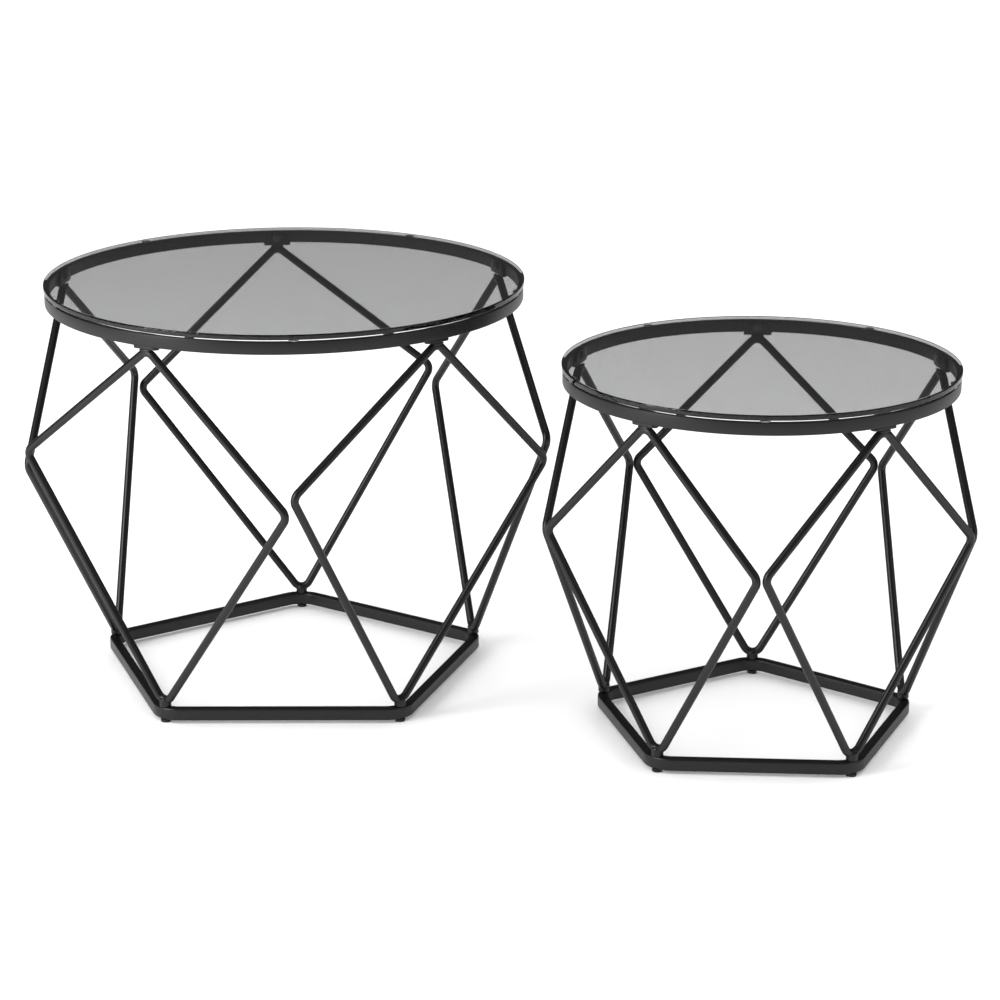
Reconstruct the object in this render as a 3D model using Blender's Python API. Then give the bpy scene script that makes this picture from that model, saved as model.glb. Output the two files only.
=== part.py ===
"""A pair of round glass side tables, a large one and a small one, on bent-rod cage frames.

Each table is a smoked glass disc that rests on clear pads on a flat-bar hoop. Five kite-shaped
rod loops hang from brackets in the hoop and stand on the corners of a pentagonal base tube.
Metres, +Z up, the floor at z = 0, the small table in front of the large one (towards -Y).
"""

import math
from dataclasses import dataclass

import bmesh
import bpy
from mathutils import Matrix, Vector


# ---------------------------------------------------------------- driving dimensions (metres)

@dataclass
class TableSizes:
    """The sizes that one table doesn't share with the other."""

    name: str
    glass_diameter: float
    height: float            # floor to the top of the glass
    bend_height: float       # floor to the side bends of the rod loops
    corner_radius: float     # table axis to the foot of a loop, on the loop's own centre plane
    loop_roll: float         # how far each loop is turned in its plane, clockwise from outside
    turn: float              # turn of the whole table about +Z
    centre: tuple            # table axis, from the middle between the tables


LARGE = TableSizes(
    name="large",
    glass_diameter=0.500,
    height=0.430,
    bend_height=0.262,
    corner_radius=0.205,
    loop_roll=math.radians(3.2),
    turn=math.radians(4.3),
    centre=(-0.243, 0.089),
)
SMALL = TableSizes(
    name="small",
    glass_diameter=0.398,
    height=0.385,
    bend_height=0.228,
    corner_radius=0.163,
    loop_roll=math.radians(0.3),
    turn=math.radians(-2.9),
    centre=(0.243, -0.089),
)

SIDES = 5                    # loops, brackets, feet, pads and base corners of each table
FIRST_LOOP = math.radians(90)
FIT_GAP = 0.0003             # between pieces that touch

GLASS_THICKNESS = 0.005
GLASS_EDGE_CHAMFER = 0.0006
GLASS_OVERHANG = 0.001       # glass past the hoop, all round
GLASS_LIFT = 0.002           # hoop to glass, filled by the pads

HOOP_HEIGHT = 0.013
HOOP_WALL = 0.005

PAD_LENGTH = 0.010           # along the hoop
PAD_WIDTH = 0.0066           # across the hoop
PAD_STEM_DIAMETER = 0.0026
PAD_STEM_LENGTH = 0.005
PAD_STEM_TAPER = 0.75        # stem's tip over its root
PAD_TOP_TAPER = 0.92         # pad's top over its foot
PAD_HOLE_CLEARANCE = 0.0006  # on the diameter

BRACKET_WIDTH = 0.029
BRACKET_PLATE = 0.0027
BRACKET_TOP_DROP = 0.001     # bracket's top edge below the hoop's
BRACKET_CORNER = 0.0025
BRACKET_CORNER_STEPS = 3

SCREW_DIAMETER = 0.004
SCREW_HOLE_CLEARANCE = 0.0006
SCREW_HEAD_DIAMETER = 0.009
SCREW_HEAD_HEIGHT = 0.0026
SCREW_HEAD_DOME = ((0.55, 1.0), (0.85, 0.72), (1.0, 0.25))   # shares of radius and of height
SCREW_SOCKET = 0.003         # across flats
SOCKET_SIDES = 6
SCREW_SOCKET_DEPTH = 0.0014
SCREW_GRIP = 0.003           # length of the shank in the hoop

ROD_DIAMETER = 0.0084
ROD_BEND_RADIUS = 0.010      # to the rod's centre line
ROD_GAP = 0.0015             # between two neighbouring loops at their side bends
APEX_INSET = 0.006           # rod's centre line inside the hoop's outer face, at the bracket

BASE_TUBE_WIDTH = 0.010
BASE_TUBE_HEIGHT = 0.013
BASE_TUBE_EDGE = 0.0015
BASE_CORNER_BEND = 0.026     # to the tube's centre line

BOSS_DIAMETER = 0.012
BOSS_HEIGHT = 0.0075         # base tube to the rod's centre line
BOSS_THREAD_DEPTH = 0.005
BOSS_SHOULDER_DROP = 0.0019  # boss's full width ends this far below the rod's centre line
BOSS_TIP_RISE = 0.0019       # and its weld to the rod ends this far above it
BOSS_TIP_DIAMETER = 0.005

FOOT_HEIGHT = 0.0035         # floor to base tube
FOOT_DIAMETER = 0.0105
FOOT_EDGE = 0.0008
STUD_DIAMETER = 0.0055
STUD_CLEARANCE = 0.0007      # on the diameter, in the tube and in the boss
STUD_TIP_GAP = 0.0005

ROUND_STEPS = 64             # facets of the glass and the hoop
ROD_STEPS = 8                # facets round a rod
BEND_STEPS = 4               # facets along a rod's bend
CORNER_STEPS = 5             # facets along a base corner
SMALL_STEPS = 12             # facets of screws, feet, pads and bosses
SHARP_EDGE = math.radians(40)


# ---------------------------------------------------------------- sizes worked out from those

@dataclass
class LoopPlace:
    """Where one table's rod loops, and all that fits to them, lie."""

    lean: float              # outward lean of a loop's plane
    plane_radius: float      # table axis to the plane, at the side bends
    bend_centres: list       # the four bends' centres in the plane, (across, up)
    apex_angle: float        # bracket's turn from the loop's own angle
    foot_angle: float        # foot's turn from the loop's own angle
    foot_radius: float


def hoop_outer_radius(table):
    return table.glass_diameter / 2 - GLASS_OVERHANG


def hoop_bottom(table):
    return table.height - GLASS_THICKNESS - GLASS_LIFT - HOOP_HEIGHT


def rod_top_axis(table):
    """Height of the rod's centre line where it meets the bracket."""
    return hoop_bottom(table) - FIT_GAP - BRACKET_PLATE - FIT_GAP - ROD_DIAMETER / 2


def rod_bottom_axis():
    """Height of the rod's centre line over the base tube."""
    return FOOT_HEIGHT + BASE_TUBE_HEIGHT + BOSS_HEIGHT


def loop_place(table):
    """Place the loop so that it meets bracket, neighbours and base whatever the sizes are."""
    top_radius = hoop_outer_radius(table) - APEX_INSET
    rise = rod_top_axis(table) - rod_bottom_axis()
    lean = math.atan2(top_radius - table.corner_radius, rise)
    above = (rod_top_axis(table) - table.bend_height) / math.cos(lean)
    below = (table.bend_height - rod_bottom_axis()) / math.cos(lean)
    plane_radius = top_radius - above * math.sin(lean)

    half_sector = math.pi / SIDES
    beside = (ROD_DIAMETER + ROD_GAP) / 2 / math.cos(half_sector)
    reach = plane_radius * math.tan(half_sector) - beside

    slope = math.tan(table.loop_roll)
    up = above - ROD_BEND_RADIUS
    down = below - ROD_BEND_RADIUS
    out = reach - ROD_BEND_RADIUS
    centres = [
        Vector((out, -out * slope)),
        Vector((up * slope, up)),
        Vector((-out, out * slope)),
        Vector((-down * slope, -down)),
    ]
    return LoopPlace(
        lean=lean,
        plane_radius=plane_radius,
        bend_centres=centres,
        apex_angle=math.atan2(up * slope, top_radius),
        foot_angle=math.atan2(-down * slope, table.corner_radius),
        foot_radius=math.hypot(down * slope, table.corner_radius),
    )


# ---------------------------------------------------------------- modelling helpers

def clear_scene():
    for old in list(bpy.data.objects):
        bpy.data.objects.remove(old, do_unlink=True)


def make_material(name, colour, roughness, metallic=0.0, transmission=0.0):
    material = bpy.data.materials.new(name)
    material.use_nodes = True
    shader = material.node_tree.nodes["Principled BSDF"]
    shader.inputs["Base Color"].default_value = (*colour, 1.0)
    shader.inputs["Roughness"].default_value = roughness
    shader.inputs["Metallic"].default_value = metallic
    shader.inputs["Transmission Weight"].default_value = transmission
    return material


def finish_mesh(bm, name):
    """Turn a bmesh into a mesh with outward faces and smooth round sides."""
    bmesh.ops.recalc_face_normals(bm, faces=bm.faces)
    mesh = bpy.data.meshes.new(name)
    bm.to_mesh(mesh)
    bm.free()
    mesh.shade_smooth()
    mesh.set_sharp_from_angle(angle=SHARP_EDGE)
    return mesh


def skin_rings(bm, rings, closed):
    """Join rings of points into a tube. An open tube gets a face on each end."""
    verts = [[bm.verts.new(point) for point in ring] for ring in rings]
    around = len(verts[0])
    joints = len(verts) if closed else len(verts) - 1
    for i in range(joints):
        here = verts[i]
        there = verts[(i + 1) % len(verts)]
        for j in range(around):
            k = (j + 1) % around
            bm.faces.new((here[j], here[k], there[k], there[j]))
    if not closed:
        bm.faces.new(verts[0])
        bm.faces.new(verts[-1])


def belt(centres, radius, steps):
    """The rounded outline round a convex polygon of bend centres, as (point, outward) pairs.

    The centres run anticlockwise, and the outline bends round each at the given radius.
    """
    outline = []
    count = len(centres)
    for i, centre in enumerate(centres):
        before = centre - centres[i - 1]
        after = centres[(i + 1) % count] - centre
        start = math.atan2(-before.x, before.y)
        sweep = (math.atan2(-after.x, after.y) - start) % math.tau
        for step in range(steps + 1):
            angle = start + sweep * step / steps
            outward = Vector((math.cos(angle), math.sin(angle)))
            outline.append((centre + outward * radius, outward))
    return outline


def turned(name, profile, steps):
    """A solid turned about Z from (radius, height) points, bottom to top."""
    bm = bmesh.new()
    rings = []
    for radius, height in profile:
        angles = [math.tau * step / steps for step in range(steps)]
        rings.append([(radius * math.cos(a), radius * math.sin(a), height) for a in angles])
    skin_rings(bm, rings, closed=False)
    return finish_mesh(bm, name)


def boolean(mesh, tools, operation):
    """The mesh cut by or joined with the tool meshes, each given with its placing matrix."""
    body = bpy.data.objects.new("boolean_body", mesh)
    bpy.context.scene.collection.objects.link(body)
    helpers = []
    for tool, matrix in tools:
        helper = bpy.data.objects.new("boolean_tool", tool)
        bpy.context.scene.collection.objects.link(helper)
        helper.matrix_world = matrix
        helper.hide_render = True
        helper.display_type = "WIRE"
        modifier = body.modifiers.new("boolean", "BOOLEAN")
        modifier.operation = operation
        modifier.solver = "EXACT"
        modifier.object = helper
        helpers.append(helper)
    graph = bpy.context.evaluated_depsgraph_get()
    result = bpy.data.meshes.new_from_object(body.evaluated_get(graph))
    result.name = mesh.name
    for old in [body, *helpers]:
        bpy.data.objects.remove(old, do_unlink=True)
    result.materials.clear()
    result.shade_smooth()
    result.set_sharp_from_angle(angle=SHARP_EDGE)
    return result


def place(name, mesh, material, parent, location=(0, 0, 0), angle=0.0):
    """Hang one named object in a table's frame, turned about +Z."""
    obj = bpy.data.objects.new(name, mesh)
    if not mesh.materials:
        mesh.materials.append(material)
    bpy.context.scene.collection.objects.link(obj)
    obj.parent = parent
    obj.location = location
    obj.rotation_euler = (0, 0, angle)
    return obj


def radial(radius, angle, height):
    return Vector((radius * math.cos(angle), radius * math.sin(angle), height))


# ---------------------------------------------------------------- the pieces of one table

def glass_mesh(table):
    """The disc, with its lower face at z = 0 and a small chamfer on both rims."""
    radius = table.glass_diameter / 2
    inner = radius - GLASS_EDGE_CHAMFER
    profile = [
        (inner, 0.0),
        (radius, GLASS_EDGE_CHAMFER),
        (radius, GLASS_THICKNESS - GLASS_EDGE_CHAMFER),
        (inner, GLASS_THICKNESS),
    ]
    return turned(f"{table.name}_glass", profile, ROUND_STEPS)


def hoop_mesh(table, loop):
    """The flat-bar hoop, lower edge at z = 0, with its screw holes and pad holes."""
    outer = hoop_outer_radius(table)
    inner = outer - HOOP_WALL
    bm = bmesh.new()
    rings = []
    for step in range(ROUND_STEPS):
        angle = math.tau * step / ROUND_STEPS
        corners = [(inner, 0.0), (outer, 0.0), (outer, HOOP_HEIGHT), (inner, HOOP_HEIGHT)]
        rings.append([radial(radius, angle, height) for radius, height in corners])
    skin_rings(bm, rings, closed=True)
    hoop = finish_mesh(bm, f"{table.name}_hoop")

    screw_radius = (SCREW_DIAMETER + SCREW_HOLE_CLEARANCE) / 2
    screw_depth = SCREW_GRIP + FIT_GAP
    start = -HOOP_WALL
    ends = [(screw_radius, start), (screw_radius, screw_depth)]
    screw_tool = turned("screw_hole", ends, SMALL_STEPS)
    stem_radius = (PAD_STEM_DIAMETER + PAD_HOLE_CLEARANCE) / 2
    stem_depth = PAD_STEM_LENGTH + FIT_GAP
    ends = [(stem_radius, -stem_depth), (stem_radius, HOOP_WALL)]
    stem_tool = turned("pad_hole", ends, SMALL_STEPS)

    tools = []
    for number in range(SIDES):
        angle = loop_angle(number) + loop.apex_angle
        spot = radial(inner, angle, HOOP_HEIGHT / 2)
        tools.append((screw_tool, Matrix.Translation(spot) @ facing_out(angle)))
        spot = radial(pad_radius(table), pad_angle(number, loop), HOOP_HEIGHT)
        tools.append((stem_tool, Matrix.Translation(spot)))
    return boolean(hoop, tools, "DIFFERENCE")


def facing_out(angle):
    """Turn +Z to point level and outward at the given angle."""
    return Matrix.Rotation(angle, 4, "Z") @ Matrix.Rotation(math.radians(90), 4, "Y")


def loop_angle(number):
    return FIRST_LOOP + math.tau * number / SIDES


def pad_angle(number, loop):
    """Pads sit midway between brackets."""
    return loop_angle(number) + loop.apex_angle + math.pi / SIDES


def pad_radius(table):
    return hoop_outer_radius(table) - HOOP_WALL / 2


def pad_mesh(table):
    """An oval pad with a tapered stem, the pad's lower face at z = 0, X pointing outward."""
    pad_top = GLASS_LIFT - 2 * FIT_GAP
    stem = PAD_STEM_DIAMETER / 2
    steps = [math.tau * step / SMALL_STEPS for step in range(SMALL_STEPS)]
    half_width = PAD_WIDTH / 2
    half_length = PAD_LENGTH / 2

    def oval(scale, height):
        wide = half_width * scale
        long = half_length * scale
        return [(wide * math.cos(a), long * math.sin(a), height) for a in steps]

    def circle(radius, height):
        return [(radius * math.cos(a), radius * math.sin(a), height) for a in steps]

    bm = bmesh.new()
    rings = [
        circle(stem * PAD_STEM_TAPER, -PAD_STEM_LENGTH),
        circle(stem, 0.0),
        oval(1.0, 0.0),
        oval(PAD_TOP_TAPER, pad_top),
    ]
    skin_rings(bm, rings, closed=False)
    return finish_mesh(bm, f"{table.name}_pad")


def bracket_seat(table):
    """Distance of the bracket leg's outer face from the axis: its two edges meet the hoop."""
    inner = hoop_outer_radius(table) - HOOP_WALL
    facet = inner * math.cos(math.pi / ROUND_STEPS)
    return math.sqrt(facet ** 2 - (BRACKET_WIDTH / 2) ** 2) - FIT_GAP


def bracket_mesh(table):
    """An angle bracket: leg inside the hoop, flange under it. X points outward, z = 0 is the
    hoop's lower edge."""
    seat = bracket_seat(table)
    back = seat - BRACKET_PLATE
    lip = hoop_outer_radius(table) * math.cos(math.pi / ROUND_STEPS) - 2 * FIT_GAP
    front = math.sqrt(lip ** 2 - (BRACKET_WIDTH / 2) ** 2)
    under = -FIT_GAP - BRACKET_PLATE
    top = HOOP_HEIGHT - BRACKET_TOP_DROP
    half = BRACKET_WIDTH / 2

    flange = rounded_plate(front - back, BRACKET_WIDTH, BRACKET_PLATE)
    leg = rounded_plate(top - under, BRACKET_WIDTH, BRACKET_PLATE)
    flange_place = Matrix.Translation((back, -half, under))
    leg_place = Matrix.Translation((seat, -half, under)) @ Matrix.Rotation(math.radians(-90), 4, "Y")
    flange.transform(flange_place)
    leg.transform(leg_place)
    bracket = boolean(flange, [(leg, Matrix.Identity(4))], "UNION")

    hole_radius = (SCREW_DIAMETER + SCREW_HOLE_CLEARANCE) / 2
    ends = [(hole_radius, -BRACKET_PLATE), (hole_radius, 2 * BRACKET_PLATE)]
    hole = turned("bracket_hole", ends, SMALL_STEPS)
    spot = Matrix.Translation((back, 0, HOOP_HEIGHT / 2)) @ facing_out(0.0)
    bracket = boolean(bracket, [(hole, spot)], "DIFFERENCE")
    bracket.name = f"{table.name}_bracket"
    return bracket


def rounded_plate(length, width, thickness):
    """A plate from x = 0 to length and y = 0 to width, its two far corners rounded."""
    corner = BRACKET_CORNER
    steps = BRACKET_CORNER_STEPS
    outline = [Vector((0, width)), Vector((0, 0))]
    for centre_y, start in ((corner, -90), (width - corner, 0)):
        for step in range(steps + 1):
            angle = math.radians(start + 90 * step / steps)
            outline.append(Vector((length - corner + corner * math.cos(angle),
                                   centre_y + corner * math.sin(angle))))
    bm = bmesh.new()
    low = [(point.x, point.y, 0.0) for point in outline]
    high = [(point.x, point.y, thickness) for point in outline]
    skin_rings(bm, [low, high], closed=False)
    return finish_mesh(bm, "plate")


def screw_mesh(table):
    """A button-head socket screw. Its head's seat is at z = 0 and its shank points along +Z."""
    shank = SCREW_DIAMETER / 2
    head = SCREW_HEAD_DIAMETER / 2
    reach = hoop_outer_radius(table) - HOOP_WALL + SCREW_GRIP
    length = reach - (bracket_seat(table) - BRACKET_PLATE - FIT_GAP)
    profile = [(head * wide, -SCREW_HEAD_HEIGHT * high) for wide, high in SCREW_HEAD_DOME]
    profile += [
        (head, 0.0),
        (shank, 0.0),
        (shank, length - shank / 2),
        (shank / 2, length),
    ]
    screw = turned("screw", profile, SMALL_STEPS)
    socket_radius = SCREW_SOCKET / 2 / math.cos(math.pi / SOCKET_SIDES)
    socket_floor = SCREW_SOCKET_DEPTH - SCREW_HEAD_HEIGHT
    ends = [(socket_radius, -2 * SCREW_HEAD_HEIGHT), (socket_radius, socket_floor)]
    socket = turned("socket", ends, SOCKET_SIDES)
    screw = boolean(screw, [(socket, Matrix.Identity(4))], "DIFFERENCE")
    screw.name = f"{table.name}_screw"
    return screw


def loop_mesh(table, loop):
    """One kite-shaped rod loop with its boss, seen in the table's frame at angle 0."""
    tilt_up = Vector((math.sin(loop.lean), 0, math.cos(loop.lean)))
    across = Vector((0, 1, 0))
    plane_normal = Vector((math.cos(loop.lean), 0, -math.sin(loop.lean)))
    origin = Vector((loop.plane_radius, 0, table.bend_height))

    bm = bmesh.new()
    rings = []
    for point, outward in belt(loop.bend_centres, ROD_BEND_RADIUS, BEND_STEPS):
        centre = origin + across * point.x + tilt_up * point.y
        side = across * outward.x + tilt_up * outward.y
        ring = []
        for step in range(ROD_STEPS):
            angle = math.tau * (step + 0.5) / ROD_STEPS
            spoke = side * math.cos(angle) + plane_normal * math.sin(angle)
            ring.append(centre + spoke * rod_facet_radius())
        rings.append(ring)
    skin_rings(bm, rings, closed=True)
    rod = finish_mesh(bm, f"{table.name}_loop")

    tube_top = FOOT_HEIGHT + BASE_TUBE_HEIGHT
    boss_profile = [
        (BOSS_DIAMETER / 2, tube_top + FIT_GAP),
        (BOSS_DIAMETER / 2, rod_bottom_axis() - BOSS_SHOULDER_DROP),
        (BOSS_TIP_DIAMETER / 2, rod_bottom_axis() + BOSS_TIP_RISE),
    ]
    boss = turned("boss", boss_profile, SMALL_STEPS)
    foot = Matrix.Translation(radial(loop.foot_radius, loop.foot_angle, 0.0))
    rod = boolean(rod, [(boss, foot)], "UNION")

    thread_radius = (STUD_DIAMETER + STUD_CLEARANCE) / 2
    ends = [(thread_radius, 0.0), (thread_radius, tube_top + BOSS_THREAD_DEPTH)]
    thread = turned("thread", ends, SMALL_STEPS)
    rod = boolean(rod, [(thread, foot)], "DIFFERENCE")
    rod.name = f"{table.name}_loop"
    return rod


def rod_facet_radius():
    """Circumscribed so that the faceted rod's flats lie at the true radius."""
    return ROD_DIAMETER / 2 / math.cos(math.pi / ROD_STEPS)


def base_mesh(table, loop):
    """The pentagonal base tube, lower face at z = 0, with a stud hole in each corner."""
    bend_circle = loop.foot_radius - BASE_CORNER_BEND
    centres = []
    for number in range(SIDES):
        corner = radial(bend_circle, loop_angle(number) + loop.foot_angle, 0.0)
        centres.append(corner.xy)
    half = BASE_TUBE_WIDTH / 2
    edge = BASE_TUBE_EDGE
    section = [
        (half - edge, 0.0),
        (half, edge),
        (half, BASE_TUBE_HEIGHT - edge),
        (half - edge, BASE_TUBE_HEIGHT),
        (edge - half, BASE_TUBE_HEIGHT),
        (-half, BASE_TUBE_HEIGHT - edge),
        (-half, edge),
        (edge - half, 0.0),
    ]
    bm = bmesh.new()
    rings = []
    for point, outward in belt(centres, BASE_CORNER_BEND, CORNER_STEPS):
        rings.append([(*(point + outward * offset), height) for offset, height in section])
    skin_rings(bm, rings, closed=True)
    base = finish_mesh(bm, f"{table.name}_base")

    hole_radius = (STUD_DIAMETER + STUD_CLEARANCE) / 2
    ends = [(hole_radius, -BASE_TUBE_HEIGHT), (hole_radius, 2 * BASE_TUBE_HEIGHT)]
    hole = turned("stud_hole", ends, SMALL_STEPS)
    tools = []
    for number in range(SIDES):
        spot = radial(loop.foot_radius, loop_angle(number) + loop.foot_angle, 0.0)
        tools.append((hole, Matrix.Translation(spot)))
    return boolean(base, tools, "DIFFERENCE")


def foot_mesh(table):
    """A round levelling foot on its stud, resting on z = 0."""
    pad = FOOT_DIAMETER / 2
    stud = STUD_DIAMETER / 2
    head_top = FOOT_HEIGHT - FIT_GAP
    stud_top = FOOT_HEIGHT + BASE_TUBE_HEIGHT + BOSS_THREAD_DEPTH - STUD_TIP_GAP
    profile = [
        (pad - FOOT_EDGE, 0.0),
        (pad, FOOT_EDGE),
        (pad, head_top),
        (stud, head_top),
        (stud, stud_top - stud / 2),
        (stud / 2, stud_top),
    ]
    return turned(f"{table.name}_foot", profile, SMALL_STEPS)


# ---------------------------------------------------------------- one whole table

def build_table(table, materials):
    """Build every piece of one table round an empty on its axis."""
    loop = loop_place(table)
    name = table.name
    axis = bpy.data.objects.new(f"{name}_table_axis", None)
    bpy.context.scene.collection.objects.link(axis)
    axis.location = (*table.centre, 0.0)
    axis.rotation_euler = (0, 0, table.turn)

    steel = materials["black_steel"]
    under_glass = table.height - GLASS_THICKNESS
    place(f"{name}_glass_top", glass_mesh(table), materials["smoked_glass"], axis, (0, 0, under_glass))
    place(f"{name}_top_hoop", hoop_mesh(table, loop), steel, axis, (0, 0, hoop_bottom(table)))
    place(f"{name}_base_ring", base_mesh(table, loop), steel, axis, (0, 0, FOOT_HEIGHT))

    loop_shape = loop_mesh(table, loop)
    bracket_shape = bracket_mesh(table)
    screw_shape = screw_mesh(table)
    screw_shape.transform(facing_out(0.0))
    pad_shape = pad_mesh(table)
    foot_shape = foot_mesh(table)
    head_seat = bracket_seat(table) - BRACKET_PLATE - FIT_GAP
    screw_height = hoop_bottom(table) + HOOP_HEIGHT / 2
    pad_height = hoop_bottom(table) + HOOP_HEIGHT + FIT_GAP
    for number in range(SIDES):
        label = number + 1
        here = loop_angle(number)
        apex = here + loop.apex_angle
        pad = pad_angle(number, loop)
        foot = here + loop.foot_angle
        place(f"{name}_rod_loop_{label}", loop_shape, steel, axis, angle=here)
        place(f"{name}_loop_bracket_{label}", bracket_shape, steel, axis, (0, 0, hoop_bottom(table)), apex)
        place(f"{name}_bracket_screw_{label}", screw_shape, materials["screw_steel"], axis,
              radial(head_seat, apex, screw_height), apex)
        place(f"{name}_glass_pad_{label}", pad_shape, materials["clear_plastic"], axis,
              radial(pad_radius(table), pad, pad_height), pad)
        place(f"{name}_levelling_foot_{label}", foot_shape, materials["black_plastic"], axis,
              radial(loop.foot_radius, foot, 0.0), foot)
    return axis


def centre_on_floor(axes):
    """Move both tables so that the middle of the pair's bounding box is over the origin."""
    bpy.context.view_layer.update()
    points = []
    for obj in bpy.context.scene.objects:
        if obj.type == "MESH":
            points += [obj.matrix_world @ vertex.co for vertex in obj.data.vertices]
    for axis in axes:
        for side in (0, 1):
            values = [point[side] for point in points]
            axis.location[side] -= (min(values) + max(values)) / 2


def main():
    clear_scene()
    materials = {
        "black_steel": make_material("black_steel", (0.030, 0.030, 0.031), 0.45, metallic=0.2),
        "screw_steel": make_material("screw_steel", (0.035, 0.035, 0.036), 0.35, metallic=0.8),
        "smoked_glass": make_material("smoked_glass", (0.36, 0.36, 0.36), 0.02, transmission=1.0),
        "clear_plastic": make_material("clear_plastic", (0.85, 0.87, 0.88), 0.15, transmission=1.0),
        "black_plastic": make_material("black_plastic", (0.012, 0.012, 0.012), 0.55),
    }
    axes = [build_table(table, materials) for table in (LARGE, SMALL)]
    centre_on_floor(axes)


if __name__ == "__main__":
    main()
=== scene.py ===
"""Two round smoked-glass side tables on black bent-rod frames, modelled round their CAD frame.

Metres, +Z up, the floor at z = 0. The tables stand side by side along X, and the camera is on -Y.
"""

import math

import bmesh
import bpy
from bpy.props import FloatProperty, FloatVectorProperty, PointerProperty
from mathutils import Matrix, Vector


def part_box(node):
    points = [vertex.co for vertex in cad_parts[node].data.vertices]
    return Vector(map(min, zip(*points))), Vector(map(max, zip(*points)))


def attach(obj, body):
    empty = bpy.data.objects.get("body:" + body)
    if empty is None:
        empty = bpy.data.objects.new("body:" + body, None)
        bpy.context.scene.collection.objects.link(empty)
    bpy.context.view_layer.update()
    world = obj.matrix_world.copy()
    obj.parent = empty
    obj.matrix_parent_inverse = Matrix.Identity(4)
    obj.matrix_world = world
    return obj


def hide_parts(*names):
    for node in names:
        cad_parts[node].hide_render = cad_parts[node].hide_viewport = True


bl_info = {
    "name": "Glass Side Tables",
    "version": (1, 0, 0),
    "blender": (4, 5, 0),
    "location": "View3D > Sidebar > Side Tables",
    "description": "Builds a large and a small glass side table on bent-rod frames",
    "category": "Add Mesh",
}

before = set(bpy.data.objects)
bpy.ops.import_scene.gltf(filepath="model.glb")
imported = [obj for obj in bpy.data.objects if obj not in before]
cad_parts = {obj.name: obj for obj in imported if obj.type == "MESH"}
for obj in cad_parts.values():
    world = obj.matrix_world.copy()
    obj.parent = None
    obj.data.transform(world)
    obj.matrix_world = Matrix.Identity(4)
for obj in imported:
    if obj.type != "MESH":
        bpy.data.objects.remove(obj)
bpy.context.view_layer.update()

TABLES = ("large", "small")
SIDES = 5                # loops, brackets, pads and feet of each table
MM = 0.001
FIT_GAP = 0.3 * MM       # between neighbouring pieces
NEAR = 0.1 * MM          # within this, a vertex counts as being at a place
MERGE_DISTANCE = 0.002 * MM
ROUND_ANGLE = 35.0       # degrees: edges sharper than this stay sharp


# ---------------------------------------------------------------- sizes and colours

def linear(code):
    """An sRGB hex colour such as "2b2b2c" as linear red, green and blue."""
    parts = [int(code[i:i + 2], 16) / 255 for i in (0, 2, 4)]
    return tuple(c / 12.92 if c <= 0.04045 else ((c + 0.055) / 1.055) ** 2.4 for c in parts)


def length(name, description, default):
    """A length in metres, as a property that a user can change."""
    return FloatProperty(name=name, description=description, default=default, min=0.0,
                         unit="LENGTH", precision=4)


def colour(name, description, code):
    """A finish's colour, as a property that a user can change."""
    return FloatVectorProperty(name=name, description=description, default=linear(code),
                               subtype="COLOR", min=0.0, max=1.0)


class LargeTableSizes(bpy.types.PropertyGroup):
    """The sizes of the large table alone"""

    glass_diameter: length("Glass diameter", "Across the large glass top", 0.500)
    bend_height: length("Bend height", "Floor to the side bends of the rod loops", 0.262)
    corner_radius: length("Corner radius", "Table axis to a loop's foot", 0.205)
    loop_roll: FloatProperty(name="Loop roll", description="Turn of each loop in its own plane",
                             default=math.radians(3.2), subtype="ANGLE")


class SmallTableSizes(bpy.types.PropertyGroup):
    """The sizes of the small table alone"""

    glass_diameter: length("Glass diameter", "Across the small glass top", 0.398)
    bend_height: length("Bend height", "Floor to the side bends of the rod loops", 0.228)
    corner_radius: length("Corner radius", "Table axis to a loop's foot", 0.163)
    loop_roll: FloatProperty(name="Loop roll", description="Turn of each loop in its own plane",
                             default=math.radians(0.3), subtype="ANGLE")


class PieceSizes(bpy.types.PropertyGroup):
    """The sizes that both tables share"""

    rod: length("Rod", "Diameter of the bent rod", 0.0084)
    rod_bend: length("Rod bend", "Bend radius to the rod's centre line", 0.010)
    rod_gap: length("Rod gap", "Between neighbouring loops at their side bends", 0.0015)
    apex_inset: length("Apex inset", "Rod's centre line inside the hoop's outer face", 0.006)
    hoop_wall: length("Hoop wall", "Thickness of the flat-bar hoop", 0.005)
    hoop_inset: length("Hoop inset", "Hoop's outer face inside the glass edge", 0.001)
    tube_width: length("Tube width", "Width of the base tube, seen from above", 0.010)
    tube_bend: length("Tube bend", "Corner radius to the base tube's centre line", 0.026)
    tube_edge: length("Tube edge", "Radius of the base tube's own edges", 0.0018)
    boss: length("Boss", "Diameter of the threaded boss on each foot of a loop", 0.012)
    boss_height: length("Boss height", "Base tube to the rod's centre line", 0.0075)
    plate: length("Bracket plate", "Thickness of the bracket's sheet", 0.0027)
    plate_width: length("Bracket width", "Width of the bracket along the hoop", 0.029)
    screw_head: length("Screw head", "Diameter of the button head", 0.009)
    foot: length("Foot", "Diameter of a levelling foot", 0.0105)
    stud: length("Stud", "Diameter of a foot's stud", 0.0055)


class Finishes(bpy.types.PropertyGroup):
    """The colours of the finishes"""

    steel: colour("Powder coat", "Black of the frame's powder coat", "0f0f10")
    screw: colour("Screw", "Black oxide of the bracket screws", "525254")
    glass: colour("Glass tint", "Grey that the glass lets through", "8f9092")
    pad: colour("Pads", "Clear soft plastic", "eef1f2")
    foot: colour("Feet", "Black moulded plastic", "121213")
    floor: colour("Floor", "Pale studio floor", "fcfcfc")


# ---------------------------------------------------------------- places, from the frame

def middle(node):
    """The middle of a CAD node's box."""
    low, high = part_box(node)
    return (low + high) / 2


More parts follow.
